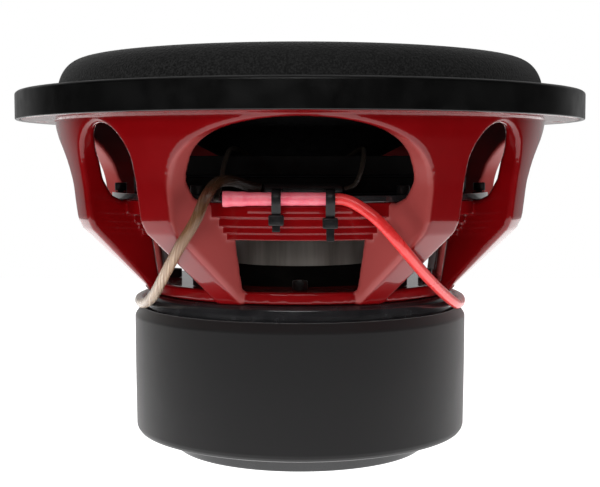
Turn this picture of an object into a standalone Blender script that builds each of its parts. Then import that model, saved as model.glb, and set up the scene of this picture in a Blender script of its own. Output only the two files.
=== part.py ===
"""Fifteen-inch car subwoofer driver: cast basket, triple-magnet motor, cone assembly and direct leads.

Units are metres with +Z up.  The origin is the middle of the motor's back face, which stands on z = 0.
The driver lies cone-up.  Azimuths are measured from the front (-Y) towards +X.
"""

import math

import bmesh
import bpy
from mathutils import Vector

MM = 0.001
GAP = 0.3 * MM

# Driving sizes
FLANGE_RADIUS = 196.0 * MM
FLANGE_UNDERSIDE = 228.0 * MM
FLANGE_TOP = 240.5 * MM
TRIM_TOP = 246.8 * MM
MAGNET_RADIUS = 110.0 * MM
BOOT_RADIUS = 116.4 * MM
BACK_PLATE_RADIUS = 88.4 * MM
TOP_PLATE_RADIUS = 109.0 * MM
TOP_PLATE_TOP = 110.0 * MM
POLE_RADIUS = 49.6 * MM
VENT_RADIUS = 18.0 * MM
COIL_INNER_RADIUS = 50.2 * MM
CONE_RADIUS = 126.0 * MM
ROLL_OUTER_RADIUS = 167.7 * MM
ROLL_CREST = 269.7 * MM
SHELF_TOP = 174.9 * MM
SHELF_RADIUS = 130.0 * MM
LANDING_RING_RADIUS = 131.5 * MM
CLAMP_RING_TOP = 203.6

# Arms of the basket: four pairs of legs
ARM_AZIMUTH = 47.8
ARM_AZIMUTHS = (47.8, 132.2, 227.8, 312.2)
LEG_BOUNDS = (0, 47.8, 90, 132.2, 180, 227.8, 270, 312.2, 360)
LEG_TOP = 223.4
LEG_OUTER_OFFSET = 52.5 * MM
LEG_INNER_OFFSET = 27.0 * MM
LEG_TAPER = 0.060
LEG_REFERENCE = 151.1 * MM

# Fasteners
MOUNT_HOLE_CIRCLE = 182.0 * MM
MOUNT_HOLE_RADIUS = 3.25 * MM
MOUNT_HOLES = 8
RING_BOLT_CIRCLE = 127.0 * MM
RING_BOLT_AZIMUTHS = (30, 90, 150, 210, 270, 330)
BASKET_BOLT_CIRCLE = 89.0 * MM
BASKET_BOLT_AZIMUTHS = (0, 47.8, 90, 132.2, 180, 227.8, 270, 312.2)

# Leads
LEAD_DIAMETER = 7.0 * MM
TINSEL_DIAMETER = 3.0 * MM
SLEEVE_RADIUS = 4.0 * MM
TIE_CENTRES = (-14.2, 18.0)

# Facets of a full turn
FINE = 48
INNER = 32
BOLT_SIDES = 8

# Routes of the two free leads, in millimetres, from where each leaves its sleeve to its bare end
RED_ROUTE = [
    (19.0, -137.0, 177.7), (26.5, -137.2, 177.2), (35.5, -139.0, 173.2), (47.0, -142.5, 164.2),
    (59.5, -139.5, 150.4), (74.2, -117.0, 133.6), (89.6, -87.0, 118.0), (103.2, -57.0, 106.4),
    (110.4, -27.0, 103.8), (113.4, 5.0, 103.6), (108.0, 38.0, 103.4), (101.5, 66.0, 97.0),
    (97.0, 86.0, 78.0), (95.5, 95.0, 52.0), (95.0, 99.5, 28.0), (91.0, 108.0, 10.5),
    (80.0, 126.0, 3.9), (61.0, 144.0, 3.8), (38.0, 154.0, 3.8), (18.0, 156.0, 3.8),
]
CLEAR_ROUTE = [
    (-23.6, -121.0, 183.2), (-31.0, -121.7, 185.0), (-40.5, -125.8, 188.3),
    (-49.5, -133.4, 187.2), (-55.6, -141.8, 179.0), (-61.6, -145.0, 165.0), (-71.0, -138.5, 150.2),
    (-82.0, -116.0, 132.8), (-93.6, -84.0, 114.9), (-102.6, -58.0, 106.6), (-110.4, -27.0, 103.8),
    (-113.4, 5.0, 103.6), (-108.0, 38.0, 103.4), (-101.5, 66.0, 97.0), (-97.0, 86.0, 78.0),
    (-95.5, 96.0, 52.0), (-96.0, 102.5, 28.0), (-95.0, 114.0, 11.2), (-86.0, 134.0, 4.5),
    (-68.0, 152.0, 3.7), (-46.0, 163.0, 3.7), (-26.0, 167.0, 3.7),
]
RED_TINSEL_ROUTE = [
    (-47.6, -137.0, 177.6), (-50.4, -135.6, 177.7), (-50.0, -130.6, 178.8), (-48.0, -126.2, 185.5),
    (-46.0, -121.5, 198.0), (-43.0, -113.0, 207.0), (-38.5, -98.0, 207.5), (-32.0, -76.0, 203.0),
    (-25.2, -54.4, 198.0),
]
BLACK_TINSEL_ROUTE = [
    (27.0, -121.0, 183.2), (33.5, -121.3, 186.2), (37.5, -121.0, 196.0), (39.0, -113.5, 206.5),
    (37.0, -97.0, 207.5), (31.0, -75.0, 203.0), (25.2, -54.4, 198.0),
]


def clear_scene():
    """Empty the file that the script is run from."""
    for old in list(bpy.data.objects):
        bpy.data.objects.remove(old, do_unlink=True)


def finish(name, colour, roughness, metallic=0.0):
    """A Principled material for one sub-part."""
    material = bpy.data.materials.new(name)
    material.use_nodes = True
    shader = material.node_tree.nodes["Principled BSDF"]
    shader.inputs["Base Color"].default_value = (*colour, 1.0)
    shader.inputs["Roughness"].default_value = roughness
    shader.inputs["Metallic"].default_value = metallic
    return material


def add_object(name, mesh, material=None):
    """Link a new object that carries the mesh."""
    thing = bpy.data.objects.new(name, mesh)
    bpy.context.scene.collection.objects.link(thing)
    if material:
        mesh.materials.append(material)
    return thing


def helper(thing):
    """Mark an object as a cutter or a shape that another one takes up."""
    thing.hide_render = True
    thing.display_type = "WIRE"
    return thing


def outline_area(points):
    """Twice the signed area of a closed outline."""
    following = points[1:] + points[:1]
    return sum(a[0] * b[1] - b[0] * a[1] for a, b in zip(points, following))


def turned(name, outline, steps, material=None, closed=True):
    """A solid of revolution about Z.

    The outline holds (radius, height) pairs in millimetres.  A closed outline is put in the order that
    runs down its outer side; an open one starts and ends on the axis and already runs that way.
    """
    points = list(outline)
    if closed and outline_area(points) > 0:
        points.reverse()
    mesh = bpy.data.meshes.new(name)
    vertices = [(r * MM, 0.0, z * MM) for r, z in points]
    edges = [(i, i + 1) for i in range(len(points) - 1)]
    if closed:
        edges.append((len(points) - 1, 0))
    mesh.from_pydata(vertices, edges, [])
    thing = add_object(name, mesh, material)
    screw = thing.modifiers.new("turn", "SCREW")
    screw.axis = "Z"
    screw.angle = math.tau
    screw.steps = steps
    screw.render_steps = steps
    screw.use_merge_vertices = True
    screw.merge_threshold = 0.00005
    return thing


def box_mesh(target, low, high):
    """Add a box between two corners, in millimetres, to a bmesh."""
    made = []
    for x in (low[0], high[0]):
        for y in (low[1], high[1]):
            for z in (low[2], high[2]):
                made.append(target.verts.new(Vector((x, y, z)) * MM))
    for face in ((0, 1, 3, 2), (4, 6, 7, 5), (0, 4, 5, 1), (2, 3, 7, 6), (0, 2, 6, 4), (1, 5, 7, 3)):
        target.faces.new([made[i] for i in face])


def prism(target, lower, upper):
    """Join two matching loops of points, in metres, into a closed prism in a bmesh."""
    below = [target.verts.new(point) for point in lower]
    above = [target.verts.new(point) for point in upper]
    target.faces.new(below[::-1])
    target.faces.new(above)
    for i in range(len(below)):
        j = (i + 1) % len(below)
        target.faces.new((below[i], below[j], above[j], above[i]))


def mesh_object(name, target, material=None):
    """Turn a bmesh into an object, with its faces pointing out."""
    bmesh.ops.recalc_face_normals(target, faces=target.faces)
    mesh = bpy.data.meshes.new(name)
    target.to_mesh(mesh)
    target.free()
    return add_object(name, mesh, material)


def boolean(thing, other, operation):
    """Add an exact Boolean modifier."""
    step = thing.modifiers.new(operation.lower() + "_" + other.name, "BOOLEAN")
    step.operation = operation
    step.solver = "EXACT"
    step.object = other


def direction(azimuth):
    """The unit vector in plan at an azimuth in degrees."""
    angle = math.radians(azimuth)
    return Vector((math.sin(angle), -math.cos(angle), 0.0))


def bolt_holes(name, circle, radius, azimuths, low, high):
    """A cutter made of upright rods on a bolt circle; heights are in millimetres."""
    target = bmesh.new()
    for azimuth in azimuths:
        centre = direction(azimuth) * circle
        ring = []
        for i in range(BOLT_SIDES):
            angle = math.tau * (i + 0.5) / BOLT_SIDES
            ring.append(centre + Vector((math.cos(angle), math.sin(angle), 0.0)) * radius)
        lower = [point + Vector((0, 0, low * MM)) for point in ring]
        upper = [point + Vector((0, 0, high * MM)) for point in ring]
        prism(target, lower, upper)
    return helper(mesh_object(name, target))


def cap_bolt(name, azimuth, circle, head_radius, head_low, head_high, shank_radius, shank_low, material):
    """A cap-head bolt standing on a ring; heights are in millimetres."""
    outline = [
        (0.0, head_high), (head_radius, head_high), (head_radius, head_low), (shank_radius, head_low),
        (shank_radius, shank_low), (0.0, shank_low),
    ]
    bolt = turned(name, outline, BOLT_SIDES, material, closed=False)
    bolt.location = direction(azimuth) * circle
    return bolt


def smooth_route(points, spacing):
    """Points about one spacing apart along a Catmull-Rom curve through a route given in millimetres."""
    knots = [Vector(point) * MM for point in points]
    knots = [knots[0] * 2 - knots[1]] + knots + [knots[-1] * 2 - knots[-2]]
    dense = []
    for a, b, c, d in zip(knots, knots[1:], knots[2:], knots[3:]):
        for i in range(24):
            t = i / 24
            square = 2 * a - 5 * b + 4 * c - d
            cube = 3 * b - a - 3 * c + d
            dense.append(0.5 * (2 * b + (c - a) * t + square * t**2 + cube * t**3))
    dense.append(knots[-2])
    lengths = [0.0]
    for a, b in zip(dense, dense[1:]):
        lengths.append(lengths[-1] + (b - a).length)
    count = max(2, round(lengths[-1] / spacing))
    result = []
    k = 0
    for i in range(count + 1):
        wanted = lengths[-1] * i / count
        while k < len(dense) - 2 and lengths[k + 1] < wanted:
            k += 1
        share = (wanted - lengths[k]) / (lengths[k + 1] - lengths[k])
        result.append(dense[k].lerp(dense[k + 1], min(share, 1.0)))
    return result


def tube(name, points, diameter, material, resolution=2):
    """A round cord along a list of points, with filled ends."""
    curve = bpy.data.curves.new(name, "CURVE")
    curve.dimensions = "3D"
    curve.bevel_depth = diameter / 2
    curve.bevel_resolution = resolution
    curve.use_fill_caps = True
    spline = curve.splines.new("POLY")
    spline.points.add(len(points) - 1)
    for knot, point in zip(spline.points, points):
        knot.co = (*point, 1.0)
    thing = bpy.data.objects.new(name, curve)
    bpy.context.scene.collection.objects.link(thing)
    curve.materials.append(material)
    return thing


def rod_along(name, start, end, radii, sides, material):
    """A turned rod between two points; radii lists (share of length, radius)."""
    axis = end - start
    side = axis.orthogonal().normalized()
    up = axis.normalized().cross(side)
    target = bmesh.new()
    loops = []
    for share, radius in radii:
        centre = start + axis * share
        loop = []
        for i in range(sides):
            angle = math.tau * i / sides
            loop.append(target.verts.new(centre + (side * math.cos(angle) + up * math.sin(angle)) * radius))
        loops.append(loop)
    target.faces.new(loops[0][::-1])
    target.faces.new(loops[-1])
    for first, second in zip(loops, loops[1:]):
        for i in range(sides):
            j = (i + 1) % sides
            target.faces.new((first[i], first[j], second[j], second[i]))
    return mesh_object(name, target, material)


def large_window(target, centre, half_angle, spring, crown):
    """A wedge-shaped cutter between two arms, with an arched top.

    Its side faces are the outer side faces of the legs on both sides, so its half width grows with the
    distance along the window's middle line.
    """
    along = direction(centre)
    across = Vector((0, 0, 1)).cross(along)
    angle = math.radians(half_angle)
    sine, cosine = math.sin(angle), math.cos(angle)
    reach = LEG_OUTER_OFFSET - LEG_TAPER * LEG_REFERENCE

    def half_width(distance):
        return (distance * (sine - LEG_TAPER * cosine) - reach) / (cosine + LEG_TAPER * sine)

    def loop(distance):
        points = []
        for i in range(15):
            turn = math.pi * i / 14
            x = math.copysign(abs(math.cos(turn)) ** 1.04, math.cos(turn))
            height = spring + (crown - spring) * math.sin(turn) ** 1.04
            points.append(along * distance + across * half_width(distance) * x + Vector((0, 0, height * MM)))
        for x in (-1, 1):
            points.append(along * distance + across * half_width(distance) * x + Vector((0, 0, 100 * MM)))
        return points

    prism(target, loop(78 * MM), loop(230 * MM))


def narrow_window(target, azimuth, spring, crown):
    """A cutter along an arm, between its two legs, with a round top."""
    along = direction(azimuth)
    across = Vector((0, 0, 1)).cross(along)

    def loop(distance):
        width = LEG_INNER_OFFSET + LEG_TAPER * (160 * MM - distance)
        points = []
        for i in range(11):
            turn = math.pi * i / 10
            height = spring + (crown - spring) * math.sin(turn)
            points.append(along * distance + across * width * math.cos(turn) + Vector((0, 0, height * MM)))
        for x in (-1, 1):
            points.append(along * distance + across * width * x + Vector((0, 0, 100 * MM)))
        return points

    prism(target, loop(86 * MM), loop(230 * MM))


def strap(name, path, width, thickness, centre_x):
    """A flat band along a path of (y, z) points in millimetres."""
    left, right = [], []
    for i, (y, z) in enumerate(path):
        before = path[max(i - 1, 0)]
        after = path[min(i + 1, len(path) - 1)]
        dy, dz = after[0] - before[0], after[1] - before[1]
        size = math.hypot(dy, dz)
        normal = (-dz / size * thickness / 2, dy / size * thickness / 2)
        left.append((y + normal[0], z + normal[1]))
        right.append((y - normal[0], z - normal[1]))
    outline = left + right[::-1]
    target = bmesh.new()
    lower = [Vector((centre_x - width / 2, y, z)) * MM for y, z in outline]
    upper = [Vector((centre_x + width / 2, y, z)) * MM for y, z in outline]
    prism(target, lower, upper)
    return helper(mesh_object(name, target))


def wave(inner, outer, level, height, waves, thickness):
    """The upper and lower outlines of a corrugated disc between two radii, flat at both, in millimetres."""
    top, bottom = [], []
    count = waves * 2
    for i in range(count + 1):
        radius = inner + (outer - inner) * i / count
        lift = height * (-1) ** i if 0 < i < count else 0.0
        top.append((radius, level + lift + thickness / 2))
        bottom.append((radius, level + lift - thickness / 2))
    return top, bottom


def build_motor():
    """Back plate with pole, magnets, top plate, shorting ring, vent screen and rubber boot."""
    steel = finish("black_steel", (0.012, 0.012, 0.013), 0.3, 0.0)
    ferrite = finish("ferrite", (0.03, 0.03, 0.032), 0.6)
    alloy = finish("shorting_alloy", (0.78, 0.78, 0.8), 0.35, 1.0)
    mesh_steel = finish("screen_steel", (0.05, 0.05, 0.05), 0.45, 0.6)
    rubber = finish("boot_rubber", (0.03, 0.03, 0.032), 0.75)
    pole = POLE_RADIUS / MM
    vent = VENT_RADIUS / MM
    back = BACK_PLATE_RADIUS / MM
    magnet = MAGNET_RADIUS / MM
    turned("t_yoke", [
        (vent + 4.3, 0), (back, 0), (back, 15), (magnet, 15), (magnet, 27), (pole, 27),
        (pole, 110), (pole - 2, 112), (vent, 112), (vent, 3), (vent + 4.3, 3),
    ], FINE, steel)
    screen = [(0, 2.2), (vent + 4, 2.2), (vent + 4, 0.8), (0, 0.8)]
    turned("vent_screen", screen, INNER, mesh_steel, closed=False)
    turned("shorting_ring", [(pole + 0.3, 45), (58, 45), (58, 27.3), (pole + 0.3, 27.3)], INNER, alloy)
    for name, low in (("magnet_lower", 27.3), ("magnet_middle", 49.4), ("magnet_upper", 71.5)):
        turned(name, [(62, low + 21.8), (magnet, low + 21.8), (magnet, low), (62, low)], INNER, ferrite)
    plate = TOP_PLATE_RADIUS / MM
    top = TOP_PLATE_TOP / MM
    turned("top_plate", [
        (54.6, top), (plate - 5.5, top), (plate - 1.3, top - 1.8), (plate, top - 6), (plate, 93.6),
        (54.6, 93.6),
    ], FINE, steel)
    boot = BOOT_RADIUS / MM
    turned("magnet_boot", [
        (110.5, 99.8), (112.2, 99.8), (boot - 1.4, 96.4), (boot, 93), (boot - 0.6, 17), (boot - 2.6, 13.2),
        (boot - 6.4, 11.9), (93, 11.9), (93, 14.7), (110.5, 14.7),
    ], FINE, rubber)


def sector(name, first, second):
    """A cutter over the sector between two azimuths, as tall as the basket."""
    target = bmesh.new()
    corners = [Vector((0, 0, 0)), direction(first) * 0.3, direction(second) * 0.3]
    lower = [corner + Vector((0, 0, 100 * MM)) for corner in corners]
    upper = [corner + Vector((0, 0, 235 * MM)) for corner in corners]
    prism(target, lower, upper)
    return helper(mesh_object(name, target))


def basket_windows():
    """The cutter for the four large windows and the four narrow ones inside the arms."""
    target = bmesh.new()
    for centre in (0, 180):
        large_window(target, centre, ARM_AZIMUTH, 181, 225.7)
    for centre in (90, 270):
        large_window(target, centre, 90 - ARM_AZIMUTH, 181, 225.7)
    for azimuth in ARM_AZIMUTHS:
        narrow_window(target, azimuth, 197, 224)
    return helper(mesh_object("window_cutter", target))


def build_basket():
    """The cast basket: flange ring, eight legs in four pairs, spider shelf, base ring and its bolts."""
    paint = finish("red_paint", (0.26, 0.002, 0.006), 0.12)
    windows = basket_windows()
    mount_azimuths = [360 * i / MOUNT_HOLES for i in range(MOUNT_HOLES)]
    mount_holes = bolt_holes("mount_hole_cutter", MOUNT_HOLE_CIRCLE, MOUNT_HOLE_RADIUS,
                             mount_azimuths, 220, 255)
    underside = FLANGE_UNDERSIDE / MM
    top = FLANGE_TOP / MM
    rim = FLANGE_RADIUS / MM - 3.5
    flange = turned("basket_flange", [
        (171, top), (rim, top), (rim, underside), (169.5, underside), (169, LEG_TOP + 0.3),
        (160.9, LEG_TOP + 0.3), (162.5, 227), (163.5, 236),
    ], FINE, paint)
    boolean(flange, windows, "DIFFERENCE")
    boolean(flange, mount_holes, "DIFFERENCE")
    for number in range(8):
        leg = turned(f"basket_leg_{number + 1}", [
            (169, LEG_TOP), (168, 214.7), (165, 201.2), (162.3, 187.5), (159, 162.5), (157, 158),
            (113.5, 117.5), (106.5, 110.4), (105.1, 110.4), (105.1, 118.3), (103.4, 118.3), (109, 151.2),
            (118.3, 151.2), (118.3, 155.3), (121.3, 155.4), (121.3, 159.6), (124.3, 159.7), (124.3, 165.1),
            (130.3, 165.7), (130.3, 174.9), (133, 174.9), (141, 178.5), (147.5, 189), (150, 200), (156, 214),
            (160.7, LEG_TOP),
        ], FINE, paint)
        cutter = sector(f"sector_{number + 1}", LEG_BOUNDS[number], LEG_BOUNDS[number + 1])
        boolean(leg, windows, "DIFFERENCE")
        boolean(leg, cutter, "INTERSECT")
    shelf = SHELF_TOP / MM
    edge = SHELF_RADIUS / MM
    shelf_ring = turned("basket_shelf", [
        (108, shelf), (edge, shelf), (edge, 166), (124, 165.3), (124, 160),
        (121, 159.9), (121, 155.7), (118, 155.6), (118, 151.5), (108, 151.5),
    ], FINE, paint)
    slots = bmesh.new()
    for centre in TIE_CENTRES:
        box_mesh(slots, (centre - 3.3, -126.7, 158), (centre + 3.3, -124.5, 180))
    boolean(shelf_ring, helper(mesh_object("tie_slot_cutter", slots)), "DIFFERENCE")
    base_ring = turned("basket_base_ring", [
        (66, 118), (104.8, 118), (104.8, 110.4), (66, 110.4),
    ], FINE, paint)
    base_holes = bolt_holes("base_hole_cutter", BASKET_BOLT_CIRCLE, 3.3 * MM, BASKET_BOLT_AZIMUTHS, 105, 125)
    boolean(base_ring, base_holes, "DIFFERENCE")
    bolts = finish("black_bolt", (0.01, 0.01, 0.01), 0.35, 0.5)
    for number, azimuth in enumerate(BASKET_BOLT_AZIMUTHS, 1):
        cap_bolt(f"basket_bolt_{number}", azimuth, BASKET_BOLT_CIRCLE, 5.0, 118.3, 124.3, 2.9, 110.7, bolts)
    return mount_holes, bolts


def build_suspension(mount_holes, bolts):
    """Landing ring, two spiders with their spacer, surround and the trim ring on the flange."""
    ring_metal = finish("landing_ring_metal", (0.03, 0.03, 0.033), 0.2, 0.3)
    weave = finish("spider_weave", (0.015, 0.015, 0.016), 0.85)
    foam = finish("surround_foam", (0.016, 0.016, 0.017), 0.8)
    trim_rubber = finish("trim_rubber", (0.012, 0.012, 0.013), 0.45)
    ring_low = SHELF_TOP / MM + 0.3
    ring_top = ring_low + 4.2
    outer = LANDING_RING_RADIUS / MM
    ring = turned("spider_landing_ring", [
        (108.6, ring_top), (outer, ring_top), (outer, ring_low), (108.6, ring_low),
    ], FINE, ring_metal)
    relief = bmesh.new()
    box_mesh(relief, (-24, -140, 170), (28, -124.3, 185))
    boolean(ring, helper(mesh_object("wire_relief_cutter", relief)), "DIFFERENCE")
    ring_holes = bolt_holes("ring_hole_cutter", RING_BOLT_CIRCLE, 2.6 * MM, RING_BOLT_AZIMUTHS, 170, 185)
    boolean(ring, ring_holes, "DIFFERENCE")
    for number, azimuth in enumerate(RING_BOLT_AZIMUTHS, 1):
        cap_bolt(f"ring_bolt_{number}", azimuth, RING_BOLT_CIRCLE, 4.2, ring_top + 0.3, ring_top + 6, 2.2,
                 ring_low + 0.4, bolts)
    low = ring_top + 0.3
    for name, level in (("lower_spider", low + 0.6), ("upper_spider", low + 11.2)):
        top, bottom = wave(56, 108, level, 2.4, 3, 1.2)
        upper = [(51.4, level + 0.6), *top, (116.6, level + 0.6)]
        lower = [(51.4, level - 0.6), *bottom, (116.6, level - 0.6)]
        turned(name, upper + lower[::-1], INNER, weave)
    turned("spider_spacer", [
        (109.4, low + 10.3), (116.6, low + 10.3), (116.6, low + 1.5), (109.4, low + 1.5),
    ], INNER, ring_metal)
    turned("spider_clamp_ring", [
        (109.4, CLAMP_RING_TOP), (116.6, CLAMP_RING_TOP), (116.6, low + 12.1), (109.4, low + 12.1),
    ], INNER, ring_metal)
    seat = FLANGE_TOP / MM + 0.3
    crest = ROLL_CREST / MM
    outer_roll = ROLL_OUTER_RADIUS / MM
    middle = outer_roll - 20.9
    top, bottom = [], []
    for i in range(7):
        turn = math.pi * i / 6
        cosine = math.copysign(abs(math.cos(turn)) ** 0.85, math.cos(turn))
        rise = math.sin(turn) ** 0.85
        top.append((middle + 20.9 * cosine, seat + 4 + (crest - seat - 4) * rise))
        bottom.append((middle + 17.9 * cosine, seat + 1 + (crest - seat - 4) * rise))
    surround = turned("surround", [
        (190, seat + 1.6), (168.3, seat + 1.6), *top, (118, seat + 1.9), (118, seat + 0.4),
        (126.3, seat + 4.5), *bottom[-2:0:-1], (164.5, seat), (190, seat),
    ], FINE, foam)
    boolean(surround, mount_holes, "DIFFERENCE")
    edge = FLANGE_RADIUS / MM
    trim_top = TRIM_TOP / MM
    trim = turned("trim_ring", [
        (169.2, trim_top), (edge - 1.2, trim_top), (edge, trim_top - 1.2), (edge, 228), (edge - 3.2, 228),
        (edge - 3.2, seat + 1.9), (169.2, seat + 1.9),
    ], FINE, trim_rubber)
    boolean(trim, mount_holes, "DIFFERENCE")


def build_cone_assembly():
    """Cone, dust cap, neck collar, coil former and winding: everything that travels."""
    pulp = finish("cone_pulp", (0.012, 0.012, 0.013), 0.6)
    cap = finish("cap_shell", (0.01, 0.01, 0.011), 0.35)
    alloy = finish("former_alloy", (0.6, 0.6, 0.6), 0.4, 1.0)
    wire = finish("coil_wire", (0.008, 0.008, 0.009), 0.4)
    collar = finish("collar_plastic", (0.015, 0.015, 0.015), 0.5)
    inner = COIL_INNER_RADIUS / MM
    rim = CONE_RADIUS / MM
    former = [(inner, 204), (inner + 0.8, 204), (inner + 0.8, 73.6), (inner, 73.6)]
    turned("voice_coil_former", former, INNER, alloy)
    turned("voice_coil_winding", [
        (inner + 1.1, 130.4), (inner + 3.4, 130.4), (inner + 3.4, 73.6), (inner + 1.1, 73.6),
    ], INNER, wire)
    turned("neck_collar", [
        (inner + 1.1, 201.8), (inner + 6, 200.5), (inner + 6, 194.4), (inner + 1.1, 194.4),
    ], INNER, collar)
    turned("cone", [
        (rim - 0.3, 244.6), (rim, 242.6), (90, 221), (54, 202.4), (51.3, 202.4), (51.3, 204.6), (89.5, 223.4),
    ], FINE, pulp)
    dome = []
    under = []
    for i in range(6):
        turn = math.pi / 2 * i / 5
        dome.append((78 * math.sin(turn), 218.1 + 20 * math.cos(turn)))
        under.append((76 * math.sin(turn), 217.3 + 19 * math.cos(turn)))
    turned("dust_cap", dome + under[::-1], INNER, cap, closed=False)


def build_leads():
    """Heat-shrink sleeves, cable ties, the two free leads with their tinned ends, and the tinsel leads."""
    pink = finish("pink_sleeve", (0.85, 0.06, 0.14), 0.4)
    black = finish("black_sleeve", (0.012, 0.012, 0.012), 0.5)
    nylon = finish("tie_nylon", (0.02, 0.02, 0.021), 0.5)
    red = finish("red_jacket", (0.6, 0.01, 0.015), 0.35)
    clear = finish("clear_jacket", (0.5, 0.36, 0.24), 0.3)
    tinned = finish("tinned_copper", (0.7, 0.62, 0.52), 0.4, 1.0)
    braid = finish("tinsel_braid", (0.25, 0.2, 0.15), 0.5, 0.6)
    flared = [(0, 4.9 * MM), (0.13, 4.4 * MM), (0.19, SLEEVE_RADIUS), (1, SLEEVE_RADIUS - 0.1 * MM)]
    rod_along("heat_shrink_sleeve", Vector((-46, -137, 177.7)) * MM, Vector((17.5, -137, 177.7)) * MM,
              flared, 16, pink)
    rod_along("rear_sleeve", Vector((-22, -121, 183.2)) * MM, Vector((26.1, -121, 183.2)) * MM,
              [(0, 3.7 * MM), (0.9, 3.6 * MM), (1, 2.2 * MM)], 12, black)
    spacing = 2.8 * LEAD_DIAMETER
    for name, route, jacket in (("red_lead", RED_ROUTE, red), ("clear_lead", CLEAR_ROUTE, clear)):
        points = smooth_route(route, spacing)
        tube(name, points, LEAD_DIAMETER, jacket)
        heading = (points[-1] - points[-2]).normalized()
        start = points[-1] + heading * GAP
        end = start + heading * 14 * MM
        rod_along(name + "_tip", start, end, [(0, 2.3 * MM), (0.9, 2.3 * MM), (1, 1.6 * MM)], 10, tinned)
    for name, route in (("tinsel_lead_left", RED_TINSEL_ROUTE), ("tinsel_lead_right", BLACK_TINSEL_ROUTE)):
        tube(name, smooth_route(route, 2 * TINSEL_DIAMETER), TINSEL_DIAMETER, braid)
    ties = (("cable_tie_left", TIE_CENTRES[0], 0.0, 158.0), ("cable_tie_right", TIE_CENTRES[1], -1.8, 152.3))
    for name, centre, drop, tail_end in ties:
        over = []
        for i in range(7):
            turn = math.radians(60 + 120 * i / 6)
            over.append((-137 + 4.95 * math.cos(turn), 177.7 + 4.95 * math.sin(turn)))
        path = [(-136.5, 164.6), (-127, 164.4), (-125.9, 164.9), (-125.6, 166.5), (-125.6, 180.0),
                (-126.6, 182.2), (-128.5, 183.0), *over, (-141.6, 174.6), (-138.2, 168.6), (-137.2, 164.0)]
        band = strap(name + "_band", path, 5.5, 1.2, centre)
        head = bmesh.new()
        box_mesh(head, (centre - 4.6, -140.4, 161.8 + drop), (centre + 4.6, -134.6, 168.3 + drop))
        head_object = mesh_object(name, head, nylon)
        tail = bmesh.new()
        box_mesh(tail, (centre - 2.4, -139.4, tail_end), (centre + 2.4, -138.2, 163 + drop))
        boolean(head_object, band, "UNION")
        boolean(head_object, helper(mesh_object(name + "_tail", tail)), "UNION")


clear_scene()
build_motor()
holes, bolt_finish = build_basket()
build_suspension(holes, bolt_finish)
build_cone_assembly()
build_leads()
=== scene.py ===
"""Looks of a fifteen-inch car subwoofer driver lying cone-up on a pale floor.

Lengths in the sections are millimetres until a mesh is made.  Azimuths start at the front (-Y) and turn
towards +X.  Each piece repeats the place and size of the node that it stands for.
"""

import math

import bmesh
import bpy
import numpy as np
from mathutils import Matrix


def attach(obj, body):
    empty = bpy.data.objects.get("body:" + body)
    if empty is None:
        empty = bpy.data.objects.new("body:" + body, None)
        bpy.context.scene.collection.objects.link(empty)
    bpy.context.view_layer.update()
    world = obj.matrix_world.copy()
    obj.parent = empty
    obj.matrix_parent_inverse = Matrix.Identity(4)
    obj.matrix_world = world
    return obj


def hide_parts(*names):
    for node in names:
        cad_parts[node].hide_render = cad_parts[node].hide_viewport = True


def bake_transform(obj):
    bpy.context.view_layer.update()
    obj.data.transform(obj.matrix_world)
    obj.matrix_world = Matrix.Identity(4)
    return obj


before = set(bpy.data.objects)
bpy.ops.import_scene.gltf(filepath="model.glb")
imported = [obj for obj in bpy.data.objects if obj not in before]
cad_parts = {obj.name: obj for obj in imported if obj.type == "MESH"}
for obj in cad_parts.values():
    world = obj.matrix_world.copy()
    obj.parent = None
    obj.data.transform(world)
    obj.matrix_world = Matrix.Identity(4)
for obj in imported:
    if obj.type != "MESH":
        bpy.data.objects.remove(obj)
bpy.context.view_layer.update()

STILL, MOVING = "frame", "cone_assembly"


# ---------------------------------------------------------------------------------------------------------
# Camera: level with the basket, a little under a metre away, looking slightly down at the front.
# ---------------------------------------------------------------------------------------------------------
lens = bpy.data.cameras.new("camera")
lens.sensor_width = 36.0
lens.lens = 71.3
camera = bpy.data.objects.new("camera", lens)
camera.location = (0.0, -0.84327, 0.1984)
camera.rotation_euler = (math.radians(90 - 3.824), 0.0, 0.0)
bpy.context.scene.collection.objects.link(camera)
bpy.context.scene.camera = camera


# ---------------------------------------------------------------------------------------------------------
# Free leads: two 8-gauge flexible copper leads soldered to the tinsel leads inside heat-shrink sleeves.
# The red one has a solid red jacket, the other a clear jacket over bare twisted strands.  Both cross the
# legs, lie on the boot's shoulder and go down behind the motor to their tinned ends.
# ---------------------------------------------------------------------------------------------------------
def add(tree, kind, inputs=(), **settings):
    """A shader node with some of its sockets and properties set."""
    made = tree.nodes.new(kind)
    for key, value in settings.items():
        setattr(made, key, value)
    for key, value in dict(inputs).items():
        if isinstance(value, bpy.types.NodeSocket):
            tree.links.new(value, made.inputs[key])
        else:
            made.inputs[key].default_value = value
    return made


def ramp(tree, factor, stops):
    """A colour ramp: each stop is a place from 0 to 1 and a colour."""
    made = add(tree, "ShaderNodeValToRGB", {"Fac": factor})
    elements = made.color_ramp.elements
    while len(elements) < len(stops):
        elements.new(0.5)
    for element, (place, colour) in zip(elements, stops):
        element.position = place
        element.color = (*colour, 1.0)
    return made.outputs["Color"]


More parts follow.
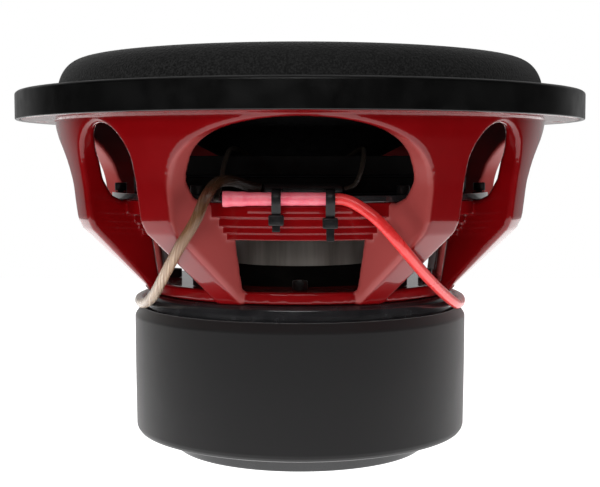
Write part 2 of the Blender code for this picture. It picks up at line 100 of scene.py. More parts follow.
def finish(name, stops, scale, rough, bump, grain, kind="noise", stretch=(1, 1, 1), by_uv=False,
           **constant):
    """A surface whose colour, roughness and height all vary.

    Colour: soft noise at one scale through a ramp.  Roughness: the same noise mapped between two values.
    Height: noise, cells or bands at the grain scale, as deep as bump says in millimetres.
    """
    made = bpy.data.materials.new(name)
    made.use_nodes = True
    tree = made.node_tree
    shader = tree.nodes["Principled BSDF"]
    for key, value in constant.items():
        shader.inputs[key.replace("_", " ")].default_value = value
    place = add(tree, "ShaderNodeTexCoord")
    start = place.outputs["UV" if by_uv else "Object"]
    vector = add(tree, "ShaderNodeMapping", {"Vector": start, "Scale": stretch}).outputs[0]
    soft = add(tree, "ShaderNodeTexNoise", {"Vector": vector, "Scale": scale, "Detail": 4.0,
                                            "Roughness": 0.6})
    if kind == "noise":
        fine = add(tree, "ShaderNodeTexNoise",
                   {"Vector": vector, "Scale": grain, "Detail": 3.0}).outputs["Fac"]
    elif kind == "cells":
        fine = add(tree, "ShaderNodeTexVoronoi", {"Vector": vector, "Scale": grain}).outputs["Distance"]
    else:
        fine = add(tree, "ShaderNodeTexWave", {"Vector": vector, "Scale": grain, "Distortion": 0.6,
                                               "Detail": 1.0},
                   bands_direction=kind).outputs["Fac"]
    colour = ramp(tree, soft.outputs["Fac"], stops)
    tree.links.new(colour, shader.inputs["Base Color"])
    spread = add(tree, "ShaderNodeMapRange", {"Value": soft.outputs["Fac"], "From Min": 0.3,
                                              "From Max": 0.7, "To Min": rough[0], "To Max": rough[1]})
    tree.links.new(spread.outputs[0], shader.inputs["Roughness"])
    height = add(tree, "ShaderNodeBump", {"Height": fine, "Strength": 1.0, "Distance": bump * 0.001})
    tree.links.new(height.outputs[0], shader.inputs["Normal"])
    tree.links.new(height.outputs[0], shader.inputs["Coat Normal"])
    return made


def piece(name, points, faces, material, body, nodes=(), uvs=None, sharp=None):
    """A mesh from points in millimetres, welded, facing out, riding on a body in place of its nodes."""
    mesh = bpy.data.meshes.new(name + "_skin")
    mesh.from_pydata((np.asarray(points, float) * 0.001).tolist(), [], np.asarray(faces).tolist())
    if uvs is not None:
        layer = mesh.uv_layers.new(name="UVMap")
        layer.data.foreach_set("uv", np.asarray(uvs, np.float32).ravel())
    target = bmesh.new()
    target.from_mesh(mesh)
    bmesh.ops.remove_doubles(target, verts=target.verts, dist=1e-6)
    bmesh.ops.recalc_face_normals(target, faces=target.faces)
    target.to_mesh(mesh)
    target.free()
    mesh.polygons.foreach_set("use_smooth", np.ones(len(mesh.polygons), bool))
    if sharp:
        mesh.set_sharp_from_angle(angle=math.radians(sharp))
    mesh.materials.append(material)
    made = bpy.data.objects.new(name + "_skin", mesh)
    bpy.context.scene.collection.objects.link(made)
    if nodes:
        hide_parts(*nodes)
    if body:
        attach(made, body)
    return made


def lattice(rows, wrap_rows, wrap_columns):
    """Quads and their corner UVs over rows of points; U goes along a row, V from row to row."""
    count, width = rows.shape[:2]
    i = np.arange(count if wrap_rows else count - 1)[:, None]
    j = np.arange(width if wrap_columns else width - 1)[None, :]
    i, j = np.broadcast_arrays(i, j)
    i, j = i.ravel(), j.ravel()
    below, right = (i + 1) % count, (j + 1) % width
    faces = np.stack([i * width + j, i * width + right, below * width + right, below * width + j], 1)
    u0, u1 = j / width, (j + 1) / width
    v0, v1 = i / count, (i + 1) / count
    uvs = np.stack([np.stack([u0, v0], 1), np.stack([u1, v0], 1), np.stack([u1, v1], 1),
                    np.stack([u0, v1], 1)], 1)
    return faces, uvs


def route(points, spacing):
    """Points one spacing apart on a Catmull-Rom curve: a cubic for each pair, leaning on its neighbours."""
    knots = np.asarray(points, float)
    knots = np.vstack([2 * knots[0] - knots[1], knots, 2 * knots[-1] - knots[-2]])
    share = np.linspace(0, 1, 24, endpoint=False)[:, None]
    dense = []
    for a, b, c, d in zip(knots, knots[1:], knots[2:], knots[3:]):
        cubic = (2 * a - 5 * b + 4 * c - d) * share ** 2 + (3 * b - a - 3 * c + d) * share ** 3
        dense.append(0.5 * (2 * b + (c - a) * share + cubic))
    dense = np.vstack([*dense, knots[-2:-1]])
    along = np.r_[0, np.cumsum(np.linalg.norm(np.diff(dense, axis=0), axis=1))]
    wanted = np.linspace(0, along[-1], max(2, round(along[-1] / spacing)) + 1)
    return np.stack([np.interp(wanted, along, dense[:, k]) for k in range(3)], 1)


def swept(path, section, turn=0.0):
    """Rows of a tube: the section's points carried square to the path, turning by turn radians per mm.

    The section is one loop of (side, up) points, or one loop for each path point.  Each end closes on its
    middle.
    """
    path = np.asarray(path, float)
    heading = np.gradient(path, axis=0)
    heading /= np.linalg.norm(heading, axis=1)[:, None]
    side = np.zeros_like(path)
    first = np.cross(heading[0], (0.0, 0.0, 1.0) if abs(heading[0][2]) < 0.9 else (1.0, 0.0, 0.0))
    side[0] = first / np.linalg.norm(first)
    for k in range(1, len(path)):
        flat = side[k - 1] - heading[k] * (side[k - 1] @ heading[k])
        side[k] = flat / np.linalg.norm(flat)
    up = np.cross(side, heading)
    section = np.broadcast_to(np.asarray(section, float), (len(path), *np.shape(section)[-2:]))
    along = np.r_[0, np.cumsum(np.linalg.norm(np.diff(path, axis=0), axis=1))] * turn
    c, s = np.cos(along)[:, None], np.sin(along)[:, None]
    x = section[:, :, 0] * c - section[:, :, 1] * s
    y = section[:, :, 0] * s + section[:, :, 1] * c
    rows = path[:, None] + side[:, None] * x[..., None] + up[:, None] * y[..., None]
    first_cap = np.broadcast_to(path[0], rows[0].shape)
    last_cap = np.broadcast_to(path[-1], rows[0].shape)
    return np.concatenate([first_cap[None], rows, last_cap[None]])


def circle(radius, sides):
    """A circle of points about the middle; radius may be one number per path point."""
    angle = np.arange(sides) / sides * math.tau
    return np.asarray(radius, float)[..., None, None] * np.stack([np.cos(angle), np.sin(angle)], 1)


RED_ROUTE = [
    (19.0, -137.0, 177.7), (26.5, -137.2, 177.2), (35.5, -139.0, 173.2), (47.0, -142.5, 164.2),
    (59.5, -139.5, 150.4), (74.2, -117.0, 133.6), (89.6, -87.0, 118.0), (103.2, -57.0, 106.4),
    (110.4, -27.0, 103.8), (113.4, 5.0, 103.6), (108.0, 38.0, 103.4), (101.5, 66.0, 97.0),
    (97.0, 86.0, 78.0), (95.5, 95.0, 52.0), (95.0, 99.5, 28.0), (91.0, 108.0, 10.5),
    (80.0, 126.0, 3.9), (61.0, 144.0, 3.8), (38.0, 154.0, 3.8), (18.0, 156.0, 3.8),
]
CLEAR_ROUTE = [
    (-23.6, -121.0, 183.2), (-31.0, -121.7, 185.0), (-40.5, -125.8, 188.3),
    (-49.5, -133.4, 187.2), (-55.6, -141.8, 179.0), (-61.6, -145.0, 165.0), (-71.0, -138.5, 150.2),
    (-82.0, -116.0, 132.8), (-93.6, -84.0, 114.9), (-102.6, -58.0, 106.6), (-110.4, -27.0, 103.8),
    (-113.4, 5.0, 103.6), (-108.0, 38.0, 103.4), (-101.5, 66.0, 97.0), (-97.0, 86.0, 78.0),
    (-95.5, 96.0, 52.0), (-96.0, 102.5, 28.0), (-95.0, 114.0, 11.2), (-86.0, 134.0, 4.5),
    (-68.0, 152.0, 3.7), (-46.0, 163.0, 3.7), (-26.0, 167.0, 3.7),
]

red_jacket = finish("red_jacket", [(0.3, (0.86, 0.035, 0.035)), (0.7, (0.95, 0.07, 0.07))], 60,
                    (0.22, 0.38), 0.06, 420, Coat_Weight=0.35, Coat_Roughness=0.15, Subsurface_Weight=0.12,
                    Subsurface_Scale=0.002)
clear_jacket = finish("clear_jacket", [(0.3, (0.30, 0.17, 0.09)), (0.7, (0.80, 0.66, 0.50))], 9,
                      (0.18, 0.3), 0.08, 11.0, kind="X", stretch=(2.0, 1.5, 1.0), by_uv=True,
                      Coat_Weight=0.7, Coat_Roughness=0.1)
# The clear jacket is darkened where it starts, which stands in for the deep shade inside the basket.
tree = clear_jacket.node_tree
shader = tree.nodes["Principled BSDF"]
place = add(tree, "ShaderNodeSeparateXYZ", {"Vector": add(tree, "ShaderNodeTexCoord").outputs["UV"]})
shade = ramp(tree, place.outputs["Y"], [(0.0, (0.008, 0.006, 0.005)), (0.035, (0.012, 0.008, 0.006)),
                                        (0.085, (0.09, 0.055, 0.035)), (0.14, (0.40, 0.26, 0.17)),
                                        (0.20, (0.85, 0.72, 0.60)), (0.30, (1.0, 0.97, 0.94))])
colour = shader.inputs["Base Color"].links[0].from_socket
painted_shade_colour = add(tree, "ShaderNodeVectorMath", {0: colour, 1: shade}, operation="MULTIPLY")
tree.links.new(painted_shade_colour.outputs[0], shader.inputs["Base Color"])
tinned = finish("tinned_copper", [(0.3, (0.42, 0.34, 0.27)), (0.7, (0.80, 0.76, 0.70))], 300, (0.25, 0.45),
                0.25, 8.0, kind="X", by_uv=True, Metallic=1.0)


LEAD_RADIUS, LEAD_SIDES = 3.5, 28


def lead(name, points, material, strands):
    """A free lead with its tinned end; strands gives its jacket the shallow twist of the wires inside."""
    path = route(points, 1.6)
    around = np.arange(LEAD_SIDES) / LEAD_SIDES * math.tau
    ring = np.stack([np.cos(around), np.sin(around)], 1)
    groove = 1 - np.abs(np.cos(around * 3.5))
    swell = LEAD_RADIUS - 0.05 * groove if strands else np.full(LEAD_SIDES, LEAD_RADIUS)
    section = swell[:, None] * ring
    rows = swept(path, section, 0.07 if strands else 0.0)
    faces, uvs = lattice(rows, False, True)
    made = piece(name, rows.reshape(-1, 3), faces, material, STILL, [name], uvs)
    heading = path[-1] - path[-2]
    heading /= np.linalg.norm(heading)
    start = path[-1] + heading * 0.3
    radii = np.array([2.2, 2.3, 2.3, 2.3, 2.25, 2.1, 1.6])
    steps = np.array([0.0, 0.6, 4.0, 8.0, 12.0, 13.2, 14.0])
    petals = 1 - 0.07 * groove
    bundle = radii[:, None, None] * petals[None, :, None] * ring[None]
    ends = swept(start + heading * steps[:, None], bundle, 0.2)
    faces, uvs = lattice(ends, False, True)
    tip = piece(name + "_tip", ends.reshape(-1, 3), faces, tinned, STILL, [name + "_tip"],
                uvs)


lead("red_lead", RED_ROUTE, red_jacket, False)
lead("clear_lead", CLEAR_ROUTE, clear_jacket, True)


# ---------------------------------------------------------------------------------------------------------
# Motor: black-plated steel back plate and pole, three ferrite rings, top plate, and a moulded rubber boot
# stretched over the stack.  Turned and pressed parts, glued and bolted in a stack.
# ---------------------------------------------------------------------------------------------------------
def softened(outline, radius, closed=True):
    """Each corner of an outline becomes a short quadratic curve, with a flat point on either side of it."""
    points = np.asarray(outline, float)
    result = []
    for k, here in enumerate(points):
        if not closed and k in (0, len(points) - 1):
            result.append(here[None])
            continue
        before = points[k - 1] - here
        after = points[(k + 1) % len(points)] - here
        one, two = np.linalg.norm(before), np.linalg.norm(after)
        cut = min(radius, 0.42 * one, 0.42 * two)
        first, last = here + before / one * cut, here + after / two * cut
        t = np.linspace(0, 1, 5)[:, None]
        result.append((first + before / one * cut * 0.12)[None])
        result.append((1 - t) ** 2 * first + 2 * t * (1 - t) * here + t ** 2 * last)
        result.append((last + after / two * cut * 0.12)[None])
    return np.vstack(result)


def turned(name, outline, material, nodes, radius=0.6, steps=192, body=STILL, closed=True, extra=(),
           shape=None):
    """A ring or dome: the outline's (radius, height) points carried round Z, then changed by shape."""
    profile = softened(outline, radius, closed) if radius else np.asarray(outline, float)
    azimuth = np.unique(np.r_[np.arange(steps) / steps * math.tau,
                              np.mod(np.asarray(extra, float), math.tau)])
    ring = profile[None, :, 0]
    rows = np.stack([ring * np.sin(azimuth)[:, None], -ring * np.cos(azimuth)[:, None],
                     np.broadcast_to(profile[:, 1], (len(azimuth), len(profile)))], 2)
    if shape is not None:
        rows = shape(rows)
    faces, uvs = lattice(rows, True, closed)
    return piece(name, rows.reshape(-1, 3), faces, material, body, nodes, uvs)


steel = finish("black_steel", [(0.3, (0.010, 0.010, 0.011)), (0.7, (0.022, 0.022, 0.024))], 90,
               (0.16, 0.3), 0.01, 900, Coat_Weight=0.5, Coat_Roughness=0.12)
ferrite = finish("ferrite", [(0.3, (0.02, 0.02, 0.022)), (0.7, (0.045, 0.045, 0.05))], 150, (0.45, 0.7),
                 0.08, 700)
alloy_ring = finish("shorting_alloy", [(0.3, (0.55, 0.55, 0.57)), (0.7, (0.78, 0.78, 0.8))], 50,
                    (0.25, 0.4), 0.02, 900, stretch=(1, 1, 8), Metallic=1.0)
rubber = finish("boot_rubber", [(0.25, (0.006, 0.006, 0.0063)), (0.75, (0.011, 0.011, 0.0115))], 26,
                (0.6, 0.75), 0.05, 1400, Specular_IOR_Level=0.3, Sheen_Weight=0.35, Sheen_Roughness=0.45)
screen_metal = finish("screen_steel", [(0.3, (0.03, 0.03, 0.03)), (0.7, (0.08, 0.08, 0.08))], 120,
                      (0.3, 0.5), 0.35, 420, kind="cells", Metallic=0.7)

turned("t_yoke", [
    (22.3, 0), (88.4, 0), (88.4, 15), (110, 15), (110, 27), (49.6, 27), (49.6, 110), (47.6, 112), (18, 112),
    (18, 3), (22.3, 3),
], steel, ["t_yoke"], 1.6)
turned("vent_screen", [(0, 2.2), (22, 2.2), (22, 0.8), (0, 0.8)], screen_metal,
       ["vent_screen"], 0.3, 96, closed=False)
turned("shorting_ring", [(49.9, 45), (58, 45), (58, 27.3), (49.9, 27.3)], alloy_ring,
       ["shorting_ring"], 0.6)
for name, low in (("magnet_lower", 27.3), ("magnet_middle", 49.4), ("magnet_upper", 71.5)):
    turned(name, [(62, low + 21.8), (110, low + 21.8), (110, low), (62, low)], ferrite, [name],
           1.5)
turned("top_plate", [
    (54.6, 110), (103.5, 110), (106.6, 109.2), (108.4, 107.2), (109, 104), (109, 93.6), (54.6, 93.6),
], steel, ["top_plate"], 0.9, 256)
turned("magnet_boot", [
    (110.5, 99.8), (112.0, 99.8), (115.8, 94.8), (116.4, 93.4), (116.3, 60), (115.8, 17),
    (115.2, 15), (113.8, 13.2), (110, 11.9), (93, 11.9), (93, 14.7), (110.5, 14.7),
], rubber, ["magnet_boot"], 0.5, 256)


# ---------------------------------------------------------------------------------------------------------
# Basket: one aluminium casting with eight legs in four pairs, a finned spider shelf, a base ring and the
# flange, in deep gloss red paint with the soft edges of a casting.  Eight cap bolts hold it to the motor.
# ---------------------------------------------------------------------------------------------------------
def polygon_distance(r, z, outline):
    """Signed distance in the (r, z) plane to a closed outline: the nearest edge, negative inside."""
    points = np.asarray(outline, float)
    near = np.full(r.shape, 1e9)
    inside = np.zeros(r.shape, bool)
    for (ax, az), (bx, bz) in zip(points, np.roll(points, -1, axis=0)):
        ex, ez = bx - ax, bz - az
        wx, wz = r - ax, z - az
        t = np.clip((wx * ex + wz * ez) / (ex * ex + ez * ez), 0, 1)
        near = np.minimum(near, (wx - ex * t) ** 2 + (wz - ez * t) ** 2)
        crosses = (az <= z) != (bz <= z)
        if ez:
            inside ^= crosses & (wx < ex * wz / ez)
    return np.where(inside, -1.0, 1.0) * np.sqrt(near)


def both(a, b, radius):
    """Where two solids overlap, with the shared edge rounded to a radius."""
    u, v = np.maximum(a + radius, 0), np.maximum(b + radius, 0)
    return np.minimum(np.maximum(a, b), -radius) + np.hypot(u, v)


def either(a, b, radius):
    """Two solids joined, with a fillet of that radius in the inner corner."""
    u, v = np.maximum(radius - a, 0), np.maximum(radius - b, 0)
    return np.maximum(np.minimum(a, b), radius) - np.hypot(u, v)


def arch(v, z, width, spring, crown, power):
    """Distance to a window: straight sides up to the spring line, then a superellipse up to the crown."""
    wide = np.maximum(width, 1.0)
    x = np.abs(v) / wide
    y = np.maximum(z - spring, 0) / (crown - spring)
    q = np.maximum((x ** power + y ** power) ** (1 / power), 1e-3)
    slope = q ** (1 - power) * np.hypot(x ** (power - 1) / wide, y ** (power - 1) / (crown - spring))
    return (q - 1) / np.maximum(slope, 1e-4)


LEG_SECTION = softened([
    (171, 240.5), (192.5, 240.5), (192.5, 228), (169.5, 228), (168, 214.7), (165, 201.2), (162.3, 187.5),
    (159.2, 164), (155.5, 156.5), (113.5, 117.5), (106.5, 110.4), (102, 110.4), (109, 151), (109, 174),
    (133, 174.9), (141, 178.5), (147.5, 189), (150, 200), (156, 214), (162.5, 227), (163.5, 236),
], 1.5)
SHELF_SECTION = [
    (108, 174.9), (130, 174.9), (130, 166), (124, 165.3), (124, 160), (121, 159.9), (121, 155.7),
    (118, 155.6), (118, 151.5), (108, 151.5),
]
BASE_SECTION = softened([(66, 118), (104.8, 118), (104.8, 110.4), (66, 110.4)], 1.2)
grid_r, grid_z = np.meshgrid(np.arange(60, 290, 0.5), np.arange(100, 250, 0.5), indexing="ij")
leg_table = polygon_distance(grid_r, grid_z, LEG_SECTION)
shelf_table = polygon_distance(grid_r, grid_z, SHELF_SECTION) + 0.6
base_table = polygon_distance(grid_r, grid_z, BASE_SECTION)


def looked_up(table, r, z):
    """The value of a table over (r, z), by straight lines between its four nearest entries."""
    i = np.clip((r - 60) / 0.5, 0, table.shape[0] - 1.001)
    j = np.clip((z - 100) / 0.5, 0, table.shape[1] - 1.001)
    a, b = i.astype(int), j.astype(int)
    s, t = i - a, j - b
    low = table[a, b] * (1 - t) + table[a, b + 1] * t
    high = table[a + 1, b] * (1 - t) + table[a + 1, b + 1] * t
    return low * (1 - s) + high * s


def window_width(distance, half_angle):
    """Half the width between two arms' outer faces, at a distance along the middle of the window."""
    sine, cosine = math.sin(math.radians(half_angle)), math.cos(math.radians(half_angle))
    return (distance * (sine - 0.06 * cosine) - 43.434) / (cosine + 0.06 * sine)


def basket_distance(x, y, z):
    """Distance to the casting: the turned section less its windows, joined to shelf and base ring."""
    across, along = np.abs(x), np.abs(y)
    r = np.hypot(x, y)
    sine, cosine = math.sin(math.radians(47.8)), math.cos(math.radians(47.8))
    arm = across * sine + along * cosine
    off_arm = across * cosine - along * sine
    windows = np.minimum(arch(across, z, window_width(along, 47.8), 181, 225.7, 1.92),
                         arch(along, z, window_width(across, 42.2), 181, 225.7, 1.92))
    windows = np.minimum(windows, arch(off_arm, z, 27 + 0.06 * (160 - arm), 197, 224, 2.0))
    legs = both(looked_up(leg_table, r, z), -windows, 3.4)
    solid = either(legs, looked_up(base_table, r, z), 3.0)
    solid = either(solid, looked_up(shelf_table, r, z), 2.0)
    eighth = np.mod(np.arctan2(x, -y) + math.pi / 8, math.pi / 4) - math.pi / 8
    hole = np.hypot(r * np.cos(eighth) - 182, r * np.sin(eighth)) - 3.25
    hole = np.where(z > 226, hole, 10.0)
    return both(solid, -hole, 0.5)


def surface_net(distance, low, high, step):
    """A mesh of the zero surface of a distance function: one point for each cell that it crosses.

    Each point is the mean of the crossings on its cell's edges, then slides down the slope to the surface.
    """
    axes = [np.arange(a, b + step, step) for a, b in zip(low, high)]
    shape = [len(axis) for axis in axes]
    field = np.empty(shape, np.float32)
    plane_x, plane_y = np.meshgrid(axes[0], axes[1], indexing="ij")
    for k, level in enumerate(axes[2]):
        field[:, :, k] = distance(plane_x, plane_y, np.full_like(plane_x, level))
    inside = field < 0
    stride = np.array([shape[1] * shape[2], shape[2], 1])
    cells, places, quads = [], [], []
    for axis in range(3):
        before = [slice(None)] * 3
        after = [slice(None)] * 3
        before[axis], after[axis] = slice(None, -1), slice(1, None)
        index = np.stack(np.nonzero(inside[tuple(before)] != inside[tuple(after)]), 1)
        first = field[tuple(index.T)]
        ahead = index.copy()
        ahead[:, axis] += 1
        last = field[tuple(ahead.T)]
        place = index.astype(float)
        place[:, axis] += first / (first - last)
        other, third = (axis + 1) % 3, (axis + 2) % 3
        corner = index @ stride
        around = np.stack([corner, corner - stride[other], corner - stride[other] - stride[third],
                           corner - stride[third]], 1)
        around[first > 0] = around[first > 0][:, ::-1]
        quads.append(around)
        cells.append(around.ravel())
        places.append(np.repeat(place, 4, axis=0))
    cells, places, quads = np.concatenate(cells), np.concatenate(places), np.concatenate(quads)
    used, which = np.unique(cells, return_inverse=True)
    count = np.bincount(which)
    middles = np.stack([np.bincount(which, places[:, k]) / count for k in range(3)], 1)
    points = middles * step + np.asarray(low)
    for _ in range(3):
        here = distance(*points.T)
        slope = np.stack([distance(*(points + nudge).T) - here for nudge in np.eye(3) * 0.05], 1) / 0.05
        size = np.maximum((slope ** 2).sum(1), 0.05)
        points -= np.clip(slope * (here / size)[:, None], -0.5, 0.5)
    return points, np.searchsorted(used, quads)


paint = finish("red_paint", [(0.3, (0.19, 0.0006, 0.0016)), (0.7, (0.25, 0.001, 0.003))], 18, (0.35, 0.45),
               0.010, 330, Coat_Weight=1.0, Coat_Roughness=0.03, Coat_IOR=1.42, Specular_IOR_Level=0.15)
# The walls of the four big windows get a duller coat over a paler colour, a painted reflection of the
# bright room that they mirror.  There, and only there, the tangential part of the normal times minus the
# sine of four times the azimuth is well above 0.
tree = paint.node_tree
shader = tree.nodes["Principled BSDF"]
seat = add(tree, "ShaderNodeTexCoord")
outward = add(tree, "ShaderNodeVectorMath", {0: seat.outputs["Object"], 1: (1.0, 1.0, 0.0)},
              operation="MULTIPLY")
outward = add(tree, "ShaderNodeVectorMath", {0: outward.outputs[0]}, operation="NORMALIZE")
turning = add(tree, "ShaderNodeVectorMath", {0: outward.outputs[0], 1: seat.outputs["Normal"]},
              operation="CROSS_PRODUCT")
turning = add(tree, "ShaderNodeSeparateXYZ", {"Vector": turning.outputs[0]})
flat = add(tree, "ShaderNodeSeparateXYZ", {"Vector": outward.outputs[0]})
wave = add(tree, "ShaderNodeMath", {0: flat.outputs["X"], 1: flat.outputs["Y"]}, operation="MULTIPLY")
total = add(tree, "ShaderNodeMath", {0: flat.outputs["Y"], 1: flat.outputs["X"]}, operation="ADD")
difference = add(tree, "ShaderNodeMath", {0: flat.outputs["Y"], 1: flat.outputs["X"]}, operation="SUBTRACT")
for factor in (total.outputs[0], difference.outputs[0], 4.0, turning.outputs["Z"]):
    wave = add(tree, "ShaderNodeMath", {0: wave.outputs[0], 1: factor}, operation="MULTIPLY")
painted_reflection_mask = add(tree, "ShaderNodeMapRange", {"Value": wave.outputs[0], "From Min": 0.25, "From Max": 0.55,
                                        "To Min": 0.0, "To Max": 1.0}, interpolation_type="SMOOTHSTEP")
gloss = add(tree, "ShaderNodeMapRange", {"Value": painted_reflection_mask.outputs[0], "To Min": 0.03, "To Max": 0.38})
tree.links.new(gloss.outputs[0], shader.inputs["Coat Roughness"])
painted_reflection_colour = add(tree, "ShaderNodeMix",
             {"Factor": painted_reflection_mask.outputs[0], "A": shader.inputs["Base Color"].links[0].from_socket,
                                     "B": (0.38, 0.06, 0.056, 1.0)}, data_type="RGBA")
tree.links.new(painted_reflection_colour.outputs["Result"], shader.inputs["Base Color"])
# The bolts are black, and darker still as painted shade for the deep shade in the basket's gaps and
# windows.
bolt_metal = finish("black_bolt", [(0.3, (0.003, 0.003, 0.003)), (0.7, (0.009, 0.009, 0.009))], 300,
                    (0.3, 0.42), 0.02, 1500)

net_points, net_faces = surface_net(basket_distance, (-195.2, -195.2, 108.0), (195.4, 195.4, 243.2), 1.68)
LEG_NODES = [f"basket_leg_{k}" for k in range(1, 9)]
piece("basket", net_points, net_faces, paint, STILL,
      ["basket_flange", "basket_base_ring", *LEG_NODES])
turned("basket_shelf", SHELF_SECTION, paint, ["basket_shelf"], 0.7, 256)

# A blank name plate, cast 0.7 mm proud of the top fin.
plate_angle = np.radians(np.linspace(-14.0, 14.0, 49))
plate_edge = [(129.7, 168.6), (130.5, 168.6), (130.7, 168.8), (130.7, 173.9), (130.5, 174.1),
              (129.7, 174.1)]
plate_rows = np.array([[(r * math.sin(a), -r * math.cos(a), z) for r, z in plate_edge]
                       for a in plate_angle])
closing = [np.broadcast_to(plate_rows[k].mean(0), plate_rows[k].shape)[None] for k in (0, -1)]
plate_rows = np.concatenate([closing[0], plate_rows, closing[1]])
plate_faces, plate_uvs = lattice(plate_rows, False, True)
piece("shelf_plate", plate_rows.reshape(-1, 3), plate_faces, paint, STILL, (), plate_uvs,
      sharp=50)


def capped_bolt(name, azimuth, circle_radius, radius, low, high, shank, shank_low):
    """A socket-head cap bolt: rings of points from the hexagon's floor over the head and down the shank."""
    angle = np.arange(48) / 48 * math.tau
    sector = np.mod(angle, math.pi / 3) - math.pi / 6
    hexagon = radius * 0.5 / np.cos(sector)
    full = np.ones(48)
    rings = [
        (full * 0.0, high - radius * 0.6), (hexagon * 0.98, high - radius * 0.6),
        (hexagon, high - radius * 0.55), (hexagon, high - 0.25), (hexagon + 0.2, high),
        (full * (radius - 0.8), high), (full * (radius - 0.55), high),
        (full * (radius - 0.15), high - 0.2), (full * radius, high - 0.6), (full * radius, high - 0.9),
        (full * radius, low + 0.3), (full * (radius - 0.2), low), (full * shank, low),
        (full * shank, shank_low), (full * 0.0, shank_low),
    ]
    turn = math.radians(azimuth)
    centre = (circle_radius * math.sin(turn), -circle_radius * math.cos(turn))
    rows = [np.stack([centre[0] + size * np.cos(angle), centre[1] + size * np.sin(angle), full * level], 1)
            for size, level in rings]
    rows = np.array(rows)
    faces, uvs = lattice(rows, False, True)
    piece(name, rows.reshape(-1, 3), faces, bolt_metal, STILL, [name], uvs, sharp=40)


BASE_AZIMUTHS = (0, 47.8, 90, 132.2, 180, 227.8, 270, 312.2)
for number, azimuth in enumerate(BASE_AZIMUTHS, 1):
    capped_bolt(f"basket_bolt_{number}", azimuth, 89, 5.0, 118.3, 124.3, 2.9, 110.7)


# ---------------------------------------------------------------------------------------------------------
# Suspension: two woven cotton spiders with a plastic spacer between them and a plastic ring clamped on top,
# a machined landing ring screwed to the shelf, a moulded foam surround and the flange's rubber trim ring.
# ---------------------------------------------------------------------------------------------------------
def follows(made, weights):
    """The piece's placement is baked into its points.  The weights are not used."""
    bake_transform(made)


def radii_of(made):
    """Each point's distance from the axis, in millimetres."""
    points = np.empty(len(made.data.vertices) * 3)
    made.data.vertices.foreach_get("co", points)
    points = points.reshape(-1, 3) * 1000
    return np.hypot(points[:, 0], points[:, 1])


ring_metal = finish("ring_metal", [(0.3, (0.014, 0.014, 0.015)), (0.7, (0.03, 0.03, 0.032))], 60,
                    (0.1, 0.18), 0.01, 900, Coat_Weight=1.0, Coat_Roughness=0.06)
# The spiders are black, and darker still as painted shade for the deep shade inside the basket.
weave = finish("spider_weave", [(0.3, (0.0025, 0.0025, 0.003)), (0.7, (0.006, 0.006, 0.0065))], 200,
               (0.75, 0.95), 0.2, 900, kind="cells", Specular_IOR_Level=0.1)
foam = finish("surround_foam", [(0.42, (0.007, 0.007, 0.007)), (0.62, (0.034, 0.034, 0.034))], 900,
              (0.7, 0.95), 0.3, 620, kind="cells", Sheen_Weight=0.15)
trim_rubber = finish("trim_rubber", [(0.3, (0.003, 0.003, 0.003)), (0.7, (0.007, 0.007, 0.007))], 60,
                     (0.28, 0.42), 0.012, 1100, Specular_IOR_Level=0.5)
# The plastic is black, and darker still as painted shade for the deep shade inside the basket.
plastic = finish("collar_plastic", [(0.3, (0.001, 0.001, 0.001)), (0.7, (0.003, 0.003, 0.003))], 200,
                 (0.6, 0.8), 0.02, 900, Specular_IOR_Level=0.2)


def relieved(rows):
    """The landing ring's front edge, cut back flat where the leads pass."""
    cut = (rows[..., 0] > -24.05) & (rows[..., 0] < 28.05) & (rows[..., 1] < -124.3)
    rows[..., 1] = np.where(cut, -124.3, rows[..., 1])
    return rows


edges = [math.asin(x / 131.5) for x in (-24.1, -24.0, 28.0, 28.1)]
turned("spider_landing_ring", [(108.6, 179.4), (131.5, 179.4), (131.5, 175.2), (108.6, 175.2)], ring_metal,
       ["spider_landing_ring"], 0.7, 256, extra=edges, shape=relieved)
for number, azimuth in enumerate((30, 90, 150, 210, 270, 330), 1):
    capped_bolt(f"ring_bolt_{number}", azimuth, 127, 4.2, 179.7, 185.4, 2.2, 175.6)


def spider_outline(level):
    """A corrugated disc 0.8 mm thick: seven rolls between two flat rims."""
    top = [(51.6, level + 0.4), (55, level + 0.4)]
    bottom = [(51.6, level - 0.4), (55, level - 0.4)]
    for k in range(113):
        radius = 56 + 52 * k / 112
        lift = 1.9 * math.sin(math.tau * 7 * k / 112)
        top.append((radius, level + lift + 0.4))
        bottom.append((radius, level + lift - 0.4))
    top.append((116.4, level + 0.4))
    bottom.append((116.4, level - 0.4))
    return top + bottom[::-1]


for name, level in (("lower_spider", 180.3), ("upper_spider", 190.9)):
    spider = turned(name, spider_outline(level), weave, [name], 0, 160, body=None)
    follows(spider, np.clip((108 - radii_of(spider)) / 52, 0, 1))
turned("spider_spacer", [(109.4, 190.0), (116.6, 190.0), (116.6, 181.2), (109.4, 181.2)], plastic,
       ["spider_spacer"], 0.6)
turned("spider_clamp_ring", [(109.4, 203.6), (116.6, 203.6), (116.6, 191.8), (109.4, 191.8)], plastic,
       ["spider_clamp_ring"], 0.6)

roll_top, roll_under = [], []
for k in range(33):
    turn = math.pi * k / 32
    cosine = math.copysign(abs(math.cos(turn)) ** 0.9, math.cos(turn))
    rise = max(math.sin(turn), 0.0) ** 0.9
    roll_top.append((146.8 + 20.9 * cosine, 244.8 + 24.6 * rise))
    roll_under.append((146.8 + 18.6 * cosine, 241.8 + 24.9 * rise))
surround = turned("surround", [
    (178, 242.4), (168.6, 242.4), *roll_top[1:-1], (125.9, 245.4), (118.2, 242.7), (118.2, 241.2),
    (126.3, 244.3), *roll_under[-3:1:-1], (165.4, 241.2), (168, 240.9), (178, 240.9),
], foam, ["surround"], 0.5, 256, body=None)
follows(surround, np.clip((164 - radii_of(surround)) / 34, 0, 1))
turned("trim_ring", [
    (169.2, 246.8), (194.2, 246.8), (196, 245.4), (196, 228), (192.8, 228), (192.8, 242.7), (169.2, 242.7),
], trim_rubber, ["trim_ring"], 1.0, 320)


